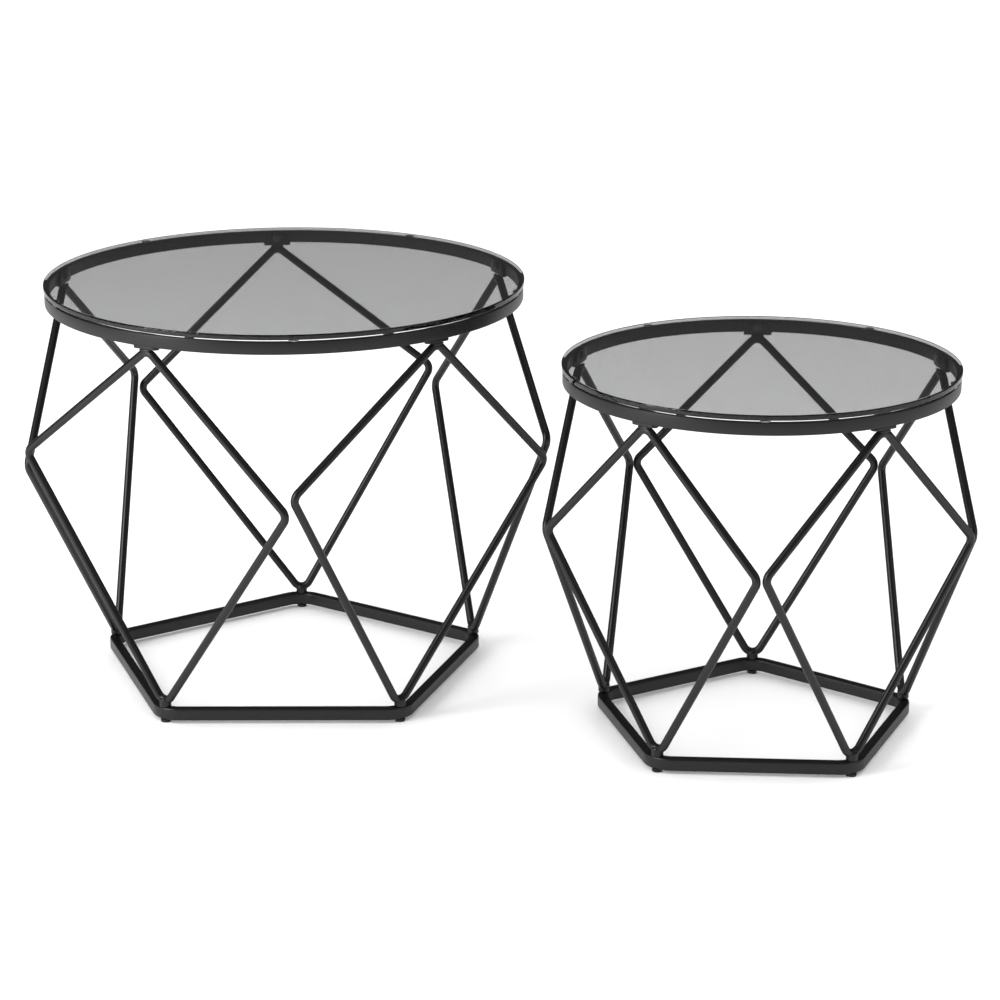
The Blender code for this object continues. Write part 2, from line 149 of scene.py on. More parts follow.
class TablePlan:
    """Where one table's pieces lie, from the CAD boxes and the table's sizes."""

    def __init__(self, name):
        scene = bpy.context.scene
        own = getattr(scene, f"{name}_table")
        shared = scene.table_pieces
        self.name = name
        self.axis = middle(f"{name}_glass_top")
        self.glass_low, self.glass_high = (corner.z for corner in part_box(f"{name}_glass_top"))
        self.hoop_low, self.hoop_high = (corner.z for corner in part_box(f"{name}_top_hoop"))
        self.tube_low, self.tube_high = (corner.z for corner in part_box(f"{name}_base_ring"))
        self.glass_radius = own.glass_diameter / 2
        self.hoop_radius = self.glass_radius - shared.hoop_inset

        self.flange_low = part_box(f"{name}_loop_bracket_1")[0].z
        rod_top = self.flange_low - FIT_GAP - shared.rod / 2
        rod_foot = self.tube_high + shared.boss_height
        top_radius = self.hoop_radius - shared.apex_inset
        self.lean = math.atan2(top_radius - own.corner_radius, rod_top - rod_foot)
        above = (rod_top - own.bend_height) / math.cos(self.lean)
        below = (own.bend_height - rod_foot) / math.cos(self.lean)
        self.bend_height = own.bend_height
        self.plane_radius = top_radius - above * math.sin(self.lean)
        self.rod_foot = rod_foot

        half_sector = math.pi / SIDES
        beside = (shared.rod + shared.rod_gap) / 2 / math.cos(half_sector)
        out = self.plane_radius * math.tan(half_sector) - beside - shared.rod_bend
        up = above - shared.rod_bend
        down = below - shared.rod_bend
        slope = math.tan(own.loop_roll)
        self.bend_centres = [
            Vector((out, -out * slope)),
            Vector((up * slope, up)),
            Vector((-out, out * slope)),
            Vector((-down * slope, -down)),
        ]
        self.apex_turn = math.atan2(up * slope, top_radius)
        self.foot_turn = math.atan2(-down * slope, own.corner_radius)
        self.foot_radius = math.hypot(down * slope, own.corner_radius)
        first_pad = middle(f"{name}_glass_pad_1") - self.axis
        self.first_apex = math.atan2(first_pad.y, first_pad.x) - half_sector

    def apex_angle(self, number):
        """Where a loop's top bend, its bracket and its screw stand, round the table."""
        return self.first_apex + math.tau * number / SIDES

    def loop_angle(self, number):
        """Which way a loop's plane faces, round the table."""
        return self.apex_angle(number) - self.apex_turn

    def foot_angle(self, number):
        """Where a loop's boss and its foot stand, round the table."""
        return self.loop_angle(number) + self.foot_turn

    def upright(self, angle, radius, height):
        """A place at that angle round the table, with +X pointing outward."""
        spot = Vector((self.axis.x, self.axis.y, height))
        turn = Matrix.Rotation(angle, 4, "Z")
        return Matrix.Translation(spot) @ turn @ Matrix.Translation((radius, 0, 0))

    def loop_plane(self, number):
        """The leaning plane of one loop: X across it, Y up it and Z outward."""
        angle = self.loop_angle(number)
        across = Vector((-math.sin(angle), math.cos(angle), 0))
        outward = Vector((math.cos(angle), math.sin(angle), 0))
        upward = outward * math.sin(self.lean) + Vector((0, 0, math.cos(self.lean)))
        normal = across.cross(upward)
        origin = Vector((self.axis.x, self.axis.y, self.bend_height)) + outward * self.plane_radius
        turn = Matrix((across, upward, normal)).transposed().to_4x4()
        return Matrix.Translation(origin) @ turn


# ---------------------------------------------------------------- modelling steps

def begin():
    """Leave nothing selected, so that the next primitive stands alone."""
    if bpy.context.mode != "OBJECT":
        bpy.ops.object.mode_set(mode="OBJECT")
    bpy.ops.object.select_all(action="DESELECT")


def take(obj):
    """Select this object alone and make it the active one."""
    begin()
    obj.select_set(True)
    bpy.context.view_layer.objects.active = obj


def edit():
    """Go into edit mode with everything selected."""
    bpy.ops.object.mode_set(mode="EDIT")
    bpy.ops.mesh.select_all(action="SELECT")


def done():
    """Leave edit mode, and return the object."""
    bpy.ops.object.mode_set(mode="OBJECT")
    return bpy.context.object


def pick(kind, test):
    """In edit mode, select just the vertices, edges or faces that pass the test."""
    modes = ("VERT", "EDGE", "FACE")
    bpy.ops.mesh.select_all(action="DESELECT")
    bpy.context.tool_settings.mesh_select_mode = tuple(kind == mode for mode in modes)
    mesh = bpy.context.object.data
    bm = bmesh.from_edit_mesh(mesh)
    for part in (bm.verts, bm.edges, bm.faces)[modes.index(kind)]:
        if test(part):
            part.select_set(True)
    bm.select_flush_mode()
    bmesh.update_edit_mesh(mesh)


def apply_place(obj):
    """Put the object's place into its mesh."""
    take(obj)
    bpy.ops.object.transform_apply(location=True, rotation=True, scale=True)


def apply_modifier(obj, kind, **settings):
    """Add a modifier with these settings and apply it."""
    take(obj)
    modifier = obj.modifiers.new(kind.lower(), kind)
    for key, value in settings.items():
        setattr(modifier, key, value)
    bpy.ops.object.modifier_apply(modifier=modifier.name)


def unite(obj, tool, operation="UNION"):
    """Join the tool to the object, or cut it out, and remove the tool."""
    apply_modifier(obj, "BOOLEAN", operation=operation, solver="EXACT", object=tool)
    bpy.data.objects.remove(tool, do_unlink=True)


def clean(obj, round_angle=ROUND_ANGLE):
    """Merge doubles, turn the faces outward and smooth what is round."""
    take(obj)
    edit()
    bpy.ops.mesh.remove_doubles(threshold=MERGE_DISTANCE)
    bpy.ops.mesh.select_all(action="SELECT")
    bpy.ops.mesh.normals_make_consistent(inside=False)
    done()
    bpy.ops.object.shade_smooth_by_angle(angle=math.radians(round_angle))


def bend_closed(centres, steps):
    """Bend the selected section round each centre, with straight runs between, to a closed bar.
    With no window, spin turns a positive angle clockwise, so each sweep is given as negative."""
    count = len(centres)
    for i, centre in enumerate(centres):
        before = centre - centres[i - 1]
        after = centres[(i + 1) % count] - centre
        sweep = (math.atan2(after.y, after.x) - math.atan2(before.y, before.x)) % math.tau
        bpy.ops.mesh.spin(steps=steps, angle=-sweep, axis=(0, 0, 1),
                          center=(centre.x, centre.y, 0))
        bpy.ops.mesh.extrude_region_move(TRANSFORM_OT_translate={"value": (after.x, after.y, 0)})


def section_place(centres, radius, height):
    """Where a bar's section starts: its X pointing out of the first bend and its Y up."""
    before = centres[0] - centres[-1]
    start = math.atan2(-before.x, before.y)
    spot = centres[0] + Vector((math.cos(start), math.sin(start))) * radius
    turn = Matrix.Rotation(start, 4, "Z") @ Matrix.Rotation(math.radians(90), 4, "X")
    return Matrix.Translation((spot.x, spot.y, height)) @ turn


def flat_bar_section(width, height, edge, place):
    """A rounded rectangle, as an open outline in edit mode."""
    begin()
    bpy.ops.mesh.primitive_plane_add(size=1)
    section = bpy.context.object
    section.matrix_world = place @ Matrix.Diagonal((width, height, 1, 1))
    apply_place(section)
    edit()
    bpy.ops.mesh.delete(type="ONLY_FACE")
    bpy.ops.mesh.select_all(action="SELECT")
    bpy.ops.mesh.bevel(offset=edge, segments=4, affect="VERTICES")
    bpy.ops.mesh.select_all(action="SELECT")


def turned(name, radius, depth, place, sides, rims, segments=4):
    """A cylinder along the place's Z. The rims are the sizes of its low and high roundings,
    and a rim of 0 stays sharp."""
    begin()
    bpy.ops.mesh.primitive_cylinder_add(vertices=sides, radius=radius, depth=depth)
    obj = bpy.context.object
    obj.name = name
    edit()
    for side, offset in zip((-1, 1), rims):
        if offset:
            pick("EDGE", lambda edge: all(v.co.z * side > 0.499 * depth for v in edge.verts))
            bpy.ops.mesh.bevel(offset=offset, segments=segments, affect="EDGES")
    done()
    obj.matrix_world = place
    apply_place(obj)
    return obj


def copy_to(obj, name, place):
    """A copy with its own mesh, its new place in the mesh."""
    twin = obj.copy()
    twin.data = obj.data.copy()
    twin.name = name
    bpy.context.scene.collection.objects.link(twin)
    twin.data.transform(place)
    return twin


def finish_piece(obj, name, material, body, node):
    """Name a piece, give it its finish and its body, and let it stand for its CAD node."""
    obj.name = name
    obj.data.name = name
    obj.data.materials.clear()
    obj.data.materials.append(material)
    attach(obj, body)
    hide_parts(node)


# ---------------------------------------------------------------- materials

def add_node(tree, kind, settings=None, links=None):
    """Add one node, set its sockets and properties, and link sockets that others feed."""
    node = tree.nodes.new(kind)
    for key, value in (settings or {}).items():
        if key in node.inputs:
            node.inputs[key].default_value = value
        else:
            setattr(node, key, value)
    for key, source in (links or {}).items():
        tree.links.new(source, node.inputs[key])
    return node


def new_material(name, **sockets):
    """A material with a Principled shader. Returns it, its node tree and the shader."""
    material = bpy.data.materials.new(name)
    material.use_nodes = True
    shader = material.node_tree.nodes["Principled BSDF"]
    for key, value in sockets.items():
        shader.inputs[key.replace("_", " ")].default_value = value
    return material, material.node_tree, shader


def shades(tree, factor, low, high, positions=(0.35, 0.65)):
    """A ramp between two linear colours."""
    ramp = add_node(tree, "ShaderNodeValToRGB", links={"Fac": factor})
    for element, position, shade in zip(ramp.color_ramp.elements, positions, (low, high)):
        element.position = position
        element.color = (*shade, 1.0)
    return ramp.outputs["Color"]


def tone(shade, factor):
    """A lighter or darker tone of a linear colour."""
    return tuple(min(1.0, channel * factor) for channel in shade)


def powder_coated_steel():
    """Baked polyester powder on steel: an even satin black with a fine orange peel."""
    base = tuple(bpy.context.scene.table_finishes.steel)
    material, tree, shader = new_material("powder_coated_steel", IOR=1.5)
    coords = add_node(tree, "ShaderNodeTexCoord").outputs["Object"]
    # The cured film flows into low waves about 1.4 mm apart.
    peel = add_node(tree, "ShaderNodeTexNoise", {"Scale": 1 / (1.4 * MM), "Detail": 2.0},
                    {"Vector": coords})
    # The powder's grain is 0.4 mm here, coarser than the real 0.05 mm, so that it shows.
    grain = add_node(tree, "ShaderNodeTexNoise", {"Scale": 1 / (0.4 * MM), "Detail": 1.0},
                     {"Vector": coords})
    # Film thickness drifts over about 60 mm and shifts the gloss a little.
    drift = add_node(tree, "ShaderNodeTexNoise", {"Scale": 1 / (60 * MM), "Detail": 2.0},
                     {"Vector": coords})
    tint = shades(tree, grain.outputs["Fac"], tone(base, 0.86), tone(base, 1.14))
    tree.links.new(tint, shader.inputs["Base Color"])
    gloss = add_node(tree, "ShaderNodeMapRange", {"To Min": 0.32, "To Max": 0.42},
                     {"Value": drift.outputs["Fac"]})
    tree.links.new(gloss.outputs["Result"], shader.inputs["Roughness"])
    waves = add_node(tree, "ShaderNodeBump", {"Strength": 0.20, "Distance": 0.05 * MM},
                     {"Height": peel.outputs["Fac"]})
    fine = add_node(tree, "ShaderNodeBump", {"Strength": 0.15, "Distance": 0.02 * MM},
                    {"Height": grain.outputs["Fac"], "Normal": waves.outputs["Normal"]})
    tree.links.new(fine.outputs["Normal"], shader.inputs["Normal"])
    return material


def black_oxide_screw():
    """Black oxide on a rolled steel screw: dark, oily and a little brighter than the frame."""
    base = tuple(bpy.context.scene.table_finishes.screw)
    material, tree, shader = new_material("black_oxide_screw", Metallic=0.7)
    coords = add_node(tree, "ShaderNodeTexCoord").outputs["Object"]
    # Oil dries in patches about 1 mm wide.
    patches = add_node(tree, "ShaderNodeTexNoise", {"Scale": 1 / (1.0 * MM), "Detail": 3.0},
                       {"Vector": coords})
    tint = shades(tree, patches.outputs["Fac"], tone(base, 0.7), tone(base, 1.3))
    tree.links.new(tint, shader.inputs["Base Color"])
    gloss = add_node(tree, "ShaderNodeMapRange", {"To Min": 0.28, "To Max": 0.42},
                     {"Value": patches.outputs["Fac"]})
    tree.links.new(gloss.outputs["Result"], shader.inputs["Roughness"])
    return material


def grey_float_glass():
    """Tinted float glass, toughened and edge-polished: clear grey through its faces, and nearly
    black through the edge, where light crosses far more of it."""
    material, tree, shader = new_material("grey_float_glass", IOR=1.52)
    shader.inputs["Transmission Weight"].default_value = 1.0
    shader.inputs["Base Color"].default_value = (1.0, 1.0, 1.0, 1.0)
    coords = add_node(tree, "ShaderNodeTexCoord").outputs["Object"]
    # Wiping leaves faint films about 40 mm wide.
    film = add_node(tree, "ShaderNodeTexNoise", {"Scale": 1 / (40 * MM), "Detail": 3.0},
                    {"Vector": coords})
    gloss = add_node(tree, "ShaderNodeMapRange", {"To Min": 0.0, "To Max": 0.02},
                     {"Value": film.outputs["Fac"]})
    tree.links.new(gloss.outputs["Result"], shader.inputs["Roughness"])
    tint = (*bpy.context.scene.table_finishes.glass, 1.0)
    # Per metre: the 5 mm disc lets about 64 percent of the light straight through.
    absorb = add_node(tree, "ShaderNodeVolumeAbsorption", {"Color": tint, "Density": 121.0})
    out = tree.nodes["Material Output"]
    tree.links.new(absorb.outputs["Volume"], out.inputs["Volume"])
    return material


def clear_soft_plastic():
    """Moulded clear vinyl: bright, slightly cloudy and not quite smooth."""
    base = tuple(bpy.context.scene.table_finishes.pad)
    material, tree, shader = new_material("clear_soft_plastic", IOR=1.46)
    shader.inputs["Transmission Weight"].default_value = 0.9
    coords = add_node(tree, "ShaderNodeTexCoord").outputs["Object"]
    # Flow marks from the mould are about 1.5 mm apart.
    flow = add_node(tree, "ShaderNodeTexNoise", {"Scale": 1 / (1.5 * MM), "Detail": 2.0},
                    {"Vector": coords})
    tint = shades(tree, flow.outputs["Fac"], tone(base, 0.9), base)
    tree.links.new(tint, shader.inputs["Base Color"])
    gloss = add_node(tree, "ShaderNodeMapRange", {"To Min": 0.12, "To Max": 0.28},
                     {"Value": flow.outputs["Fac"]})
    tree.links.new(gloss.outputs["Result"], shader.inputs["Roughness"])
    return material


def moulded_black_plastic():
    """Injection-moulded black nylon with a spark-eroded grain that kills the shine."""
    base = tuple(bpy.context.scene.table_finishes.foot)
    material, tree, shader = new_material("moulded_black_plastic", IOR=1.53, Roughness=0.6)
    coords = add_node(tree, "ShaderNodeTexCoord").outputs["Object"]
    # The mould's grain is drawn 0.5 mm wide, coarser than the real 0.1 mm, so that it shows.
    grain = add_node(tree, "ShaderNodeTexNoise", {"Scale": 1 / (0.5 * MM), "Detail": 3.0},
                     {"Vector": coords})
    tint = shades(tree, grain.outputs["Fac"], tone(base, 0.8), tone(base, 1.25))
    tree.links.new(tint, shader.inputs["Base Color"])
    bump = add_node(tree, "ShaderNodeBump", {"Strength": 0.3, "Distance": 0.05 * MM},
                    {"Height": grain.outputs["Fac"]})
    tree.links.new(bump.outputs["Normal"], shader.inputs["Normal"])
    return material


def matt_studio_floor():
    """Matt painted board, so slightly mottled that it reads as plain."""
    base = tuple(bpy.context.scene.table_finishes.floor)
    material, tree, shader = new_material("matt_studio_floor", Roughness=0.9)
    coords = add_node(tree, "ShaderNodeTexCoord").outputs["Object"]
    # Roller marks are about 80 mm across.
    roller = add_node(tree, "ShaderNodeTexNoise", {"Scale": 1 / (80 * MM), "Detail": 2.0},
                      {"Vector": coords})
    tint = shades(tree, roller.outputs["Fac"], tone(base, 0.995), base)
    tree.links.new(tint, shader.inputs["Base Color"])
    return material


# ---------------------------------------------------------------- operators

def made_once(make_material):
    """The finish that this function makes, made the first time and shared after that."""
    return bpy.data.materials.get(make_material.__name__) or make_material()


class BothTables:
    """What the operators that build a piece for both tables have in common."""

    def build_both(self, context):
        self.sizes = context.scene.table_pieces
        self.material = made_once(self.make_material)
        for name in TABLES:
            self.build(TablePlan(name))
        return {"FINISHED"}


class TABLES_OT_glass_tops(BothTables, bpy.types.Operator):
    """Cut the two glass discs and polish their edges"""

    bl_idname = "side_tables.glass_tops"
    bl_label = "Glass Tops"
    bl_options = {"REGISTER", "UNDO"}
    make_material = staticmethod(grey_float_glass)
    sides = 256
    edge = 0.6 * MM
    border = 2.0 * MM           # ring of flat faces inside each rim

    def execute(self, context):
        return self.build_both(context)

    def build(self, plan):
        depth = plan.glass_high - plan.glass_low
        place = Matrix.Translation((plan.axis.x, plan.axis.y, plan.glass_low + depth / 2))
        rims = (self.edge, self.edge)
        disc = turned("disc", plan.glass_radius, depth, place, self.sides, rims)
        # The border keeps the rim's rounding out of the shading of the disc's two faces.
        take(disc)
        edit()
        pick("FACE", lambda face: len(face.verts) > 4)
        bpy.ops.mesh.inset(thickness=self.border, use_individual=True)
        done()
        clean(disc)
        finish_piece(disc, f"{plan.name}_polished_glass_disc", self.material,
                     f"{plan.name}_glass", f"{plan.name}_glass_top")


class TABLES_OT_hoops(BothTables, bpy.types.Operator):
    """Roll the two flat-bar hoops that carry the glass"""

    bl_idname = "side_tables.hoops"
    bl_label = "Top Hoops"
    bl_options = {"REGISTER", "UNDO"}
    make_material = staticmethod(powder_coated_steel)
    edge = 0.7 * MM
    steps = 256

    def execute(self, context):
        return self.build_both(context)

    def build(self, plan):
        wall = self.sizes.hoop_wall
        height = plan.hoop_high - plan.hoop_low
        middle_height = (plan.hoop_high + plan.hoop_low) / 2
        spot = Vector((plan.axis.x + plan.hoop_radius - wall / 2, plan.axis.y, middle_height))
        upright = Matrix.Translation(spot) @ Matrix.Rotation(math.radians(90), 4, "X")
        flat_bar_section(wall, height, self.edge, upright)
        bpy.ops.mesh.spin(steps=self.steps, angle=math.tau, axis=(0, 0, 1),
                          center=(plan.axis.x, plan.axis.y, 0))
        hoop = done()
        clean(hoop)
        finish_piece(hoop, f"{plan.name}_rolled_hoop", self.material,
                     f"{plan.name}_frame", f"{plan.name}_top_hoop")


class TABLES_OT_base_rings(BothTables, bpy.types.Operator):
    """Bend the two pentagonal base tubes"""

    bl_idname = "side_tables.base_rings"
    bl_label = "Base Rings"
    bl_options = {"REGISTER", "UNDO"}
    make_material = staticmethod(powder_coated_steel)
    steps = 16

    def execute(self, context):
        return self.build_both(context)

    def build(self, plan):
        bend = self.sizes.tube_bend
        height = plan.tube_high - plan.tube_low
        centres = []
        for number in range(SIDES):
            corner = plan.upright(plan.foot_angle(number), plan.foot_radius - bend, 0)
            centres.append(corner.translation.xy)
        place = section_place(centres, bend, plan.tube_low + height / 2)
        flat_bar_section(self.sizes.tube_width, height, self.sizes.tube_edge, place)
        bend_closed(centres, self.steps)
        ring = done()
        clean(ring)
        finish_piece(ring, f"{plan.name}_bent_base_tube", self.material,
                     f"{plan.name}_frame", f"{plan.name}_base_ring")


class TABLES_OT_rod_loops(BothTables, bpy.types.Operator):
    """Bend the rod loops and weld a threaded boss to the foot of each"""

    bl_idname = "side_tables.rod_loops"
    bl_label = "Rod Loops"
    bl_options = {"REGISTER", "UNDO"}
    make_material = staticmethod(powder_coated_steel)
    rod_sides = 28
    boss_sides = 40
    steps = 14
    boss_edge = 0.5 * MM
    boss_shoulder = 2.6 * MM    # rounding of the boss's top into the rod
    boss_segments = 6
    bead_length = 14.0 * MM
    bead_width = 3.6 * MM
    bead_sink = 1.0 * MM        # bead's middle below the rod's top

    def bent_rod(self, plan):
        """One kite of bent rod, flat at the origin."""
        bend = self.sizes.rod_bend
        begin()
        bpy.ops.mesh.primitive_circle_add(vertices=self.rod_sides, radius=self.sizes.rod / 2)
        rod = bpy.context.object
        rod.matrix_world = section_place(plan.bend_centres, bend, 0)
        apply_place(rod)
        edit()
        bend_closed(plan.bend_centres, self.steps)
        done()
        clean(rod)
        return rod

    def boss(self, plan, plane):
        """The threaded boss, from just above the base tube to inside the rod's foot bend."""
        low = plan.tube_high + FIT_GAP
        high = plan.rod_foot + self.sizes.rod / 4
        foot = plan.upright(plan.foot_angle(0), plan.foot_radius, (low + high) / 2)
        return turned("boss", self.sizes.boss / 2, high - low, plane.inverted() @ foot,
                      self.boss_sides, (self.boss_edge, self.boss_shoulder), self.boss_segments)

    def weld_bead(self, plan, side):
        """One of the two weld beads between the top bend and the bracket, on either side of
        the rod's middle."""
        begin()
        bpy.ops.mesh.primitive_uv_sphere_add(segments=24, ring_count=12, radius=0.5)
        bead = bpy.context.object
        rise = self.sizes.rod_bend + self.sizes.rod / 2 - self.bead_sink
        top = plan.bend_centres[1] + Vector((0, rise))
        spot = Vector((top.x, top.y, side * self.sizes.rod / 3))
        size = Matrix.Diagonal((self.bead_length, self.bead_width, self.bead_width, 1))
        bead.matrix_world = Matrix.Translation(spot) @ size
        apply_place(bead)
        return bead

    def execute(self, context):
        return self.build_both(context)

    def build(self, plan):
        plane = plan.loop_plane(0)
        pattern = self.bent_rod(plan)
        unite(pattern, self.boss(plan, plane))
        for side in (-1, 1):
            unite(pattern, self.weld_bead(plan, side))
        clean(pattern)
        for number in range(SIDES):
            label = number + 1
            loop = copy_to(pattern, "loop", plan.loop_plane(number))
            finish_piece(loop, f"{plan.name}_welded_rod_loop_{label}", self.material,
                         f"{plan.name}_frame", f"{plan.name}_rod_loop_{label}")
        bpy.data.objects.remove(pattern, do_unlink=True)


class TABLES_OT_loop_brackets(BothTables, bpy.types.Operator):
    """Fold the angle brackets that hold the loops to the hoops"""

    bl_idname = "side_tables.loop_brackets"
    bl_label = "Loop Brackets"
    bl_options = {"REGISTER", "UNDO"}
    make_material = staticmethod(powder_coated_steel)
    fold = 3.2 * MM             # outer radius of the fold
    corner = 5.0 * MM           # rounding of the sheet's corners
    top_drop = 1.0 * MM         # leg's top edge below the hoop's
    front_inset = 0.6 * MM      # flange's front edge inside the hoop's outer face
    rim = 0.35 * MM
    fold_steps = 8
    corner_segments = 6

    def execute(self, context):
        return self.build_both(context)

    def build(self, plan):
        plate = self.sizes.plate
        half = self.sizes.plate_width / 2
        inner = plan.hoop_radius - self.sizes.hoop_wall
        seat = math.sqrt(inner ** 2 - half ** 2) - FIT_GAP
        front = math.sqrt(plan.hoop_radius ** 2 - half ** 2) - self.front_inset
        back = seat - plate
        top = plan.hoop_high - self.top_drop
        under = plan.flange_low

        begin()
        bpy.ops.mesh.primitive_plane_add(size=1)
        sheet = bpy.context.object
        leg = top - under - self.fold
        upright = Matrix.Rotation(math.radians(90), 4, "Y")
        place = Matrix.Translation((back, 0, top - leg / 2)) @ upright
        sheet.matrix_world = place @ Matrix.Diagonal((leg, 2 * half, 1, 1))
        apply_place(sheet)
        edit()
        low_edge = under + self.fold + NEAR
        pick("EDGE", lambda edge: all(v.co.z < low_edge for v in edge.verts))
        bpy.ops.mesh.spin(steps=self.fold_steps, angle=math.radians(90), axis=(0, 1, 0),
                          center=(back + self.fold, 0, under + self.fold))
        run = front - back - self.fold
        bpy.ops.mesh.extrude_region_move(TRANSFORM_OT_translate={"value": (run, 0, 0)})
        pick("VERT", lambda v: abs(v.co.y) > half - NEAR
             and (v.co.z > top - NEAR or v.co.x > front - NEAR))
        bpy.ops.mesh.bevel(offset=self.corner, segments=self.corner_segments, affect="VERTICES")
        done()
        clean(sheet)
        # The sheet is the bracket's outer face, so it thickens toward the fold's centre.
        centre = Vector((back + self.fold, 0, under + self.fold))
        face = sheet.data.polygons[0]
        inward = (centre - face.center).dot(face.normal) > 0
        apply_modifier(sheet, "SOLIDIFY", thickness=plate, offset=1.0 if inward else -1.0)
        apply_modifier(sheet, "BEVEL", width=self.rim, segments=2, limit_method="ANGLE")
        clean(sheet)
        for number in range(SIDES):
            label = number + 1
            bracket = copy_to(sheet, "bracket", plan.upright(plan.apex_angle(number), 0, 0))
            finish_piece(bracket, f"{plan.name}_folded_bracket_{label}", self.material,
                         f"{plan.name}_frame", f"{plan.name}_loop_bracket_{label}")
        bpy.data.objects.remove(sheet, do_unlink=True)


class TABLES_OT_bracket_screws(BothTables, bpy.types.Operator):
    """Turn the button-head screws and cut their sockets"""

    bl_idname = "side_tables.bracket_screws"
    bl_label = "Bracket Screws"
    bl_options = {"REGISTER", "UNDO"}
    make_material = staticmethod(black_oxide_screw)
    head_height = 2.6 * MM
    head_sides = 40
    dome = 1.9 * MM             # rounding of the head's outer rim
    dome_segments = 6
    under_edge = 0.2 * MM       # rounding of the rim that meets the bracket
    shank = 4.0 * MM
    shank_sides = 24
    shank_length = 7.0 * MM
    shank_sink = 0.5 * MM       # shank's start inside the head
    shank_tip = 0.6 * MM
    socket = 3.0 * MM           # across flats
    socket_sides = 6
    socket_depth = 1.4 * MM

    def execute(self, context):
        return self.build_both(context)

    def build(self, plan):
        half = self.sizes.plate_width / 2
        inner = plan.hoop_radius - self.sizes.hoop_wall
        seat = math.sqrt(inner ** 2 - half ** 2) - self.sizes.plate - 2 * FIT_GAP
        head_place = Matrix.Translation((0, 0, -self.head_height / 2))
        screw = turned("screw", self.sizes.screw_head / 2, self.head_height, head_place,
                       self.head_sides, (self.dome, self.under_edge), self.dome_segments)
        shank_place = Matrix.Translation((0, 0, self.shank_length / 2 - self.shank_sink))
        unite(screw, turned("shank", self.shank / 2, self.shank_length, shank_place,
                            self.shank_sides, (0, self.shank_tip)))
        cutter_place = Matrix.Translation((0, 0, -self.head_height))
        across = self.socket / math.cos(math.pi / self.socket_sides)
        cutter = turned("socket", across / 2, 2 * self.socket_depth, cutter_place,
                        self.socket_sides, (0, 0))
        unite(screw, cutter, "DIFFERENCE")
        clean(screw)
        outward = Matrix.Rotation(math.radians(90), 4, "Y")
        height = (plan.hoop_low + plan.hoop_high) / 2
        for number in range(SIDES):
            label = number + 1
            place = plan.upright(plan.apex_angle(number), seat, height) @ outward
            piece = copy_to(screw, "screw", place)
            finish_piece(piece, f"{plan.name}_button_screw_{label}", self.material,
                         f"{plan.name}_frame", f"{plan.name}_bracket_screw_{label}")
        bpy.data.objects.remove(screw, do_unlink=True)


class TABLES_OT_glass_pads(BothTables, bpy.types.Operator):
    """Mould the clear pads that the glass rests on"""

    bl_idname = "side_tables.glass_pads"
    bl_label = "Glass Pads"
    bl_options = {"REGISTER", "UNDO"}
    make_material = staticmethod(clear_soft_plastic)
    pad_length = 10.0 * MM
    pad_width = 6.6 * MM
    pad_sides = 40
    under_edge = 0.2 * MM
    top_edge = 0.5 * MM
    stem = 2.6 * MM
    stem_sides = 24
    stem_length = 5.0 * MM
    stem_sink = 0.4 * MM        # stem's start inside the pad
    stem_tip = 0.7 * MM

    def execute(self, context):
        return self.build_both(context)

    def build(self, plan):
        radius = plan.hoop_radius - self.sizes.hoop_wall / 2
        thick = plan.glass_low - plan.hoop_high - 2 * FIT_GAP
        oval = Matrix.Diagonal((self.pad_width / self.pad_length, 1, 1, 1))
        place = Matrix.Translation((0, 0, thick / 2)) @ oval
        pad = turned("pad", self.pad_length / 2, thick, place,
                     self.pad_sides, (self.under_edge, self.top_edge))
        stem_place = Matrix.Translation((0, 0, self.stem_sink - self.stem_length / 2))
        unite(pad, turned("stem", self.stem / 2, self.stem_length, stem_place,
                          self.stem_sides, (self.stem_tip, 0)))
        clean(pad)
        for number in range(SIDES):
            label = number + 1
            angle = plan.apex_angle(number) + math.pi / SIDES
            place = plan.upright(angle, radius, plan.hoop_high + FIT_GAP)
            piece = copy_to(pad, "pad", place)
            finish_piece(piece, f"{plan.name}_clear_pad_{label}", self.material,
                         f"{plan.name}_frame", f"{plan.name}_glass_pad_{label}")
        bpy.data.objects.remove(pad, do_unlink=True)


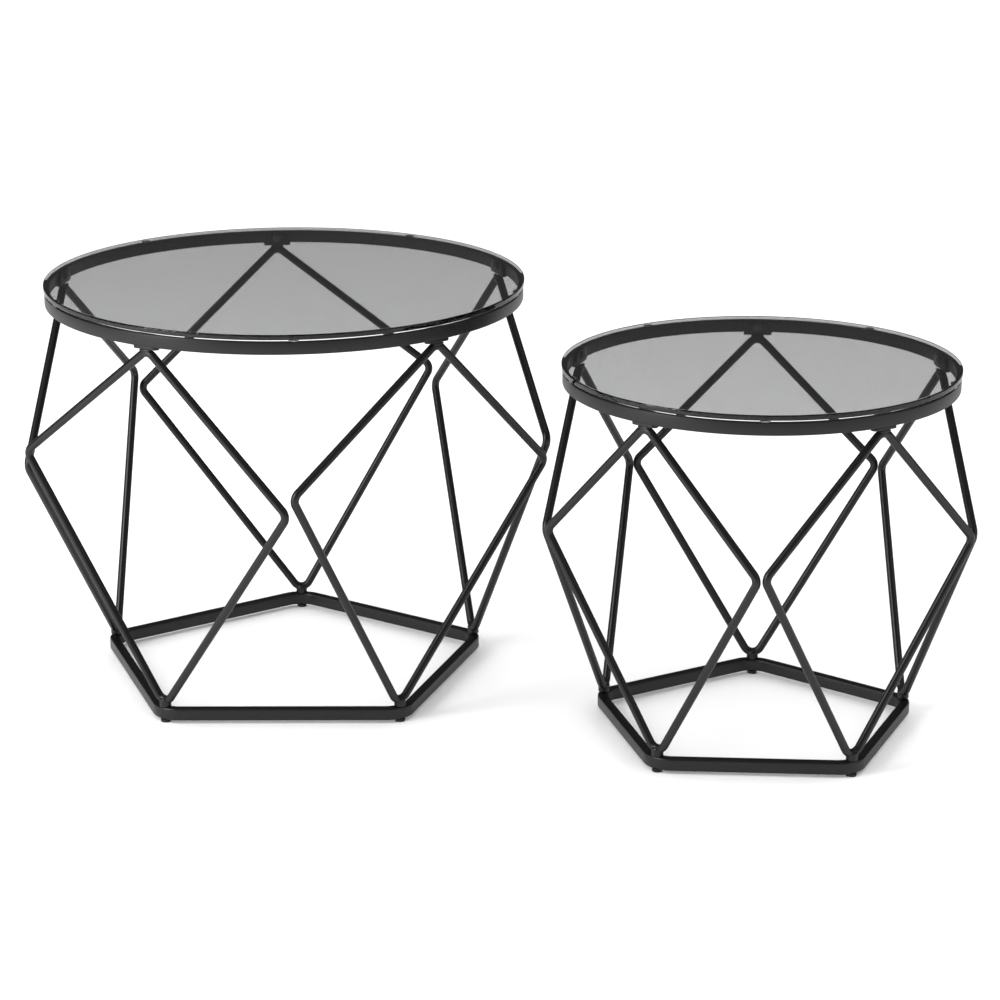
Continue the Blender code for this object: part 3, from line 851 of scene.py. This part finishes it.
class TABLES_OT_levelling_feet(BothTables, bpy.types.Operator):
    """Mould the levelling feet on their threaded studs"""

    bl_idname = "side_tables.levelling_feet"
    bl_label = "Levelling Feet"
    bl_options = {"REGISTER", "UNDO"}
    make_material = staticmethod(moulded_black_plastic)
    foot_sides = 40
    floor_edge = 0.8 * MM
    top_edge = 0.4 * MM
    pitch = 1.0 * MM
    thread_depth = 0.3 * MM
    thread_angle = 80.0         # degrees: the thread's crests and roots are shaded round
    stud_sides = 24
    stud_length = 17.0 * MM
    stud_sink = 0.5 * MM        # stud's start inside the foot

    def threaded_stud(self, low):
        """A stud with rounded grooves at the thread's pitch, from this height up."""
        crest = self.sizes.stud / 2
        root = crest - self.thread_depth
        begin()
        bpy.ops.mesh.primitive_circle_add(vertices=self.stud_sides, radius=root,
                                          fill_type="NGON", location=(0, 0, low))
        stud = bpy.context.object
        apply_place(stud)
        edit()
        turns = int(self.stud_length / self.pitch)
        for _ in range(turns):
            for scale in (crest / root, root / crest):
                bpy.ops.mesh.extrude_region_move(
                    TRANSFORM_OT_translate={"value": (0, 0, self.pitch / 2)})
                bpy.ops.transform.resize(value=(scale, scale, 1))
        done()
        clean(stud, self.thread_angle)
        return stud

    def execute(self, context):
        return self.build_both(context)

    def build(self, plan):
        thick = plan.tube_low - FIT_GAP
        foot = turned("foot", self.sizes.foot / 2, thick, Matrix.Translation((0, 0, thick / 2)),
                      self.foot_sides, (self.floor_edge, self.top_edge))
        unite(foot, self.threaded_stud(thick - self.stud_sink))
        clean(foot)
        for number in range(SIDES):
            label = number + 1
            place = plan.upright(plan.foot_angle(number), plan.foot_radius, 0)
            piece = copy_to(foot, "foot", place)
            finish_piece(piece, f"{plan.name}_screw_foot_{label}", self.material,
                         f"{plan.name}_foot_{label}", f"{plan.name}_levelling_foot_{label}")
        bpy.data.objects.remove(foot, do_unlink=True)


class TABLES_OT_studio(bpy.types.Operator):
    """Lay the pale floor and set the soft lights and the camera"""

    bl_idname = "side_tables.studio"
    bl_label = "Studio"
    bl_options = {"REGISTER", "UNDO"}

    camera_height = 1.211
    camera_distance = 3.313
    camera_side = 0.035
    heading = 0.46               # degrees left of straight ahead
    pitch = 16.79                # degrees below level
    lens = 119.9                 # millimetres
    sensor = 36.0                # millimetres
    floor_size = 14.0
    room_light = 1.20
    mirrored_light = 0.06        # how bright glass and gloss see the room
    mirrored_share = 0.4         # how far each earlier mirroring dims it
    # Each softbox has its place, the point that it is aimed at, its sides and its watts.
    softboxes = {
        "overhead_softbox": ((0.0, 0.3, 2.6), (0.0, 0.0, 0.2), (3.0, 3.0), 10.0),
        "left_softbox": ((-2.6, -1.6, 1.6), (0.0, 0.0, 0.25), (1.2, 2.4), 75.0),
        "right_softbox": ((2.6, -1.2, 1.4), (0.0, 0.0, 0.25), (1.6, 2.2), 8.0),
    }

    def softbox(self, name, spot, aim, size, power):
        """A rectangular light at a spot, turned to its aim."""
        light = bpy.data.lights.new(name, "AREA")
        light.shape = "RECTANGLE"
        light.size, light.size_y = size
        light.energy = power
        lamp = bpy.data.objects.new(name, light)
        bpy.context.scene.collection.objects.link(lamp)
        lamp.location = spot
        lamp.rotation_euler = (Vector(aim) - Vector(spot)).to_track_quat("-Z", "Y").to_euler()

    def surroundings(self):
        """A white room for the camera and for light, which glossy surfaces mirror as dim."""
        world = bpy.data.worlds.new("studio_surroundings")
        world.use_nodes = True
        tree = world.node_tree
        path = add_node(tree, "ShaderNodeLightPath")
        # Light that was mirrored earlier on its way, by glass or steel, is dimmed in part.
        mirrored = add_node(tree, "ShaderNodeMath", {"operation": "MULTIPLY_ADD"},
                            {0: path.outputs["Glossy Depth"], 2: path.outputs["Is Glossy Ray"]})
        mirrored.inputs[1].default_value = self.mirrored_share
        dim = add_node(tree, "ShaderNodeMapRange",
                       {"To Min": self.room_light, "To Max": self.mirrored_light},
                       {"Value": mirrored.outputs["Value"]})
        white = tree.nodes["Background"]
        white.inputs["Color"].default_value = (1.0, 1.0, 1.0, 1.0)
        tree.links.new(dim.outputs["Result"], white.inputs["Strength"])
        return world

    def execute(self, context):
        begin()
        bpy.ops.mesh.primitive_grid_add(x_subdivisions=8, y_subdivisions=8, size=self.floor_size)
        floor = context.object
        floor.name = "studio_floor"
        floor.data.materials.append(matt_studio_floor())

        context.scene.world = self.surroundings()
        context.scene.view_settings.view_transform = "Standard"

        for name, (spot, aim, size, power) in self.softboxes.items():
            self.softbox(name, spot, aim, size, power)

        lens = bpy.data.cameras.new("studio_camera")
        lens.lens = self.lens
        lens.sensor_width = self.sensor
        camera = bpy.data.objects.new("studio_camera", lens)
        camera.location = (self.camera_side, -self.camera_distance, self.camera_height)
        camera.rotation_euler = (math.radians(90 - self.pitch), 0, math.radians(self.heading))
        context.scene.collection.objects.link(camera)
        context.scene.camera = camera
        return {"FINISHED"}


OPERATORS = (
    TABLES_OT_glass_tops,
    TABLES_OT_hoops,
    TABLES_OT_base_rings,
    TABLES_OT_rod_loops,
    TABLES_OT_loop_brackets,
    TABLES_OT_bracket_screws,
    TABLES_OT_glass_pads,
    TABLES_OT_levelling_feet,
    TABLES_OT_studio,
)


class TABLES_PT_sidebar(bpy.types.Panel):
    """The tables' sizes, colours and pieces"""

    bl_idname = "TABLES_PT_sidebar"
    bl_label = "Side Tables"
    bl_space_type = "VIEW_3D"
    bl_region_type = "UI"
    bl_category = "Side Tables"

    def draw(self, context):
        for name, title, _ in GROUPS:
            box = self.layout.box()
            box.label(text=title)
            group = getattr(context.scene, name)
            for key in type(group).__annotations__:
                box.prop(group, key)
        for operator in OPERATORS:
            self.layout.operator(operator.bl_idname)


# Each group's name on the scene, its title in the panel and its class.
GROUPS = (
    ("large_table", "Large table", LargeTableSizes),
    ("small_table", "Small table", SmallTableSizes),
    ("table_pieces", "Pieces", PieceSizes),
    ("table_finishes", "Finishes", Finishes),
)


def register():
    for name, _, group in GROUPS:
        bpy.utils.register_class(group)
        setattr(bpy.types.Scene, name, PointerProperty(type=group))
    for operator in OPERATORS:
        bpy.utils.register_class(operator)
    bpy.utils.register_class(TABLES_PT_sidebar)


def unregister():
    bpy.utils.unregister_class(TABLES_PT_sidebar)
    for operator in reversed(OPERATORS):
        bpy.utils.unregister_class(operator)
    for name, _, group in reversed(GROUPS):
        delattr(bpy.types.Scene, name)
        bpy.utils.unregister_class(group)


def main():
    register()
    bpy.ops.side_tables.glass_tops()
    bpy.ops.side_tables.hoops()
    bpy.ops.side_tables.base_rings()
    bpy.ops.side_tables.rod_loops()
    bpy.ops.side_tables.loop_brackets()
    bpy.ops.side_tables.bracket_screws()
    bpy.ops.side_tables.glass_pads()
    bpy.ops.side_tables.levelling_feet()
    bpy.ops.side_tables.studio()


if __name__ == "__main__":
    main()
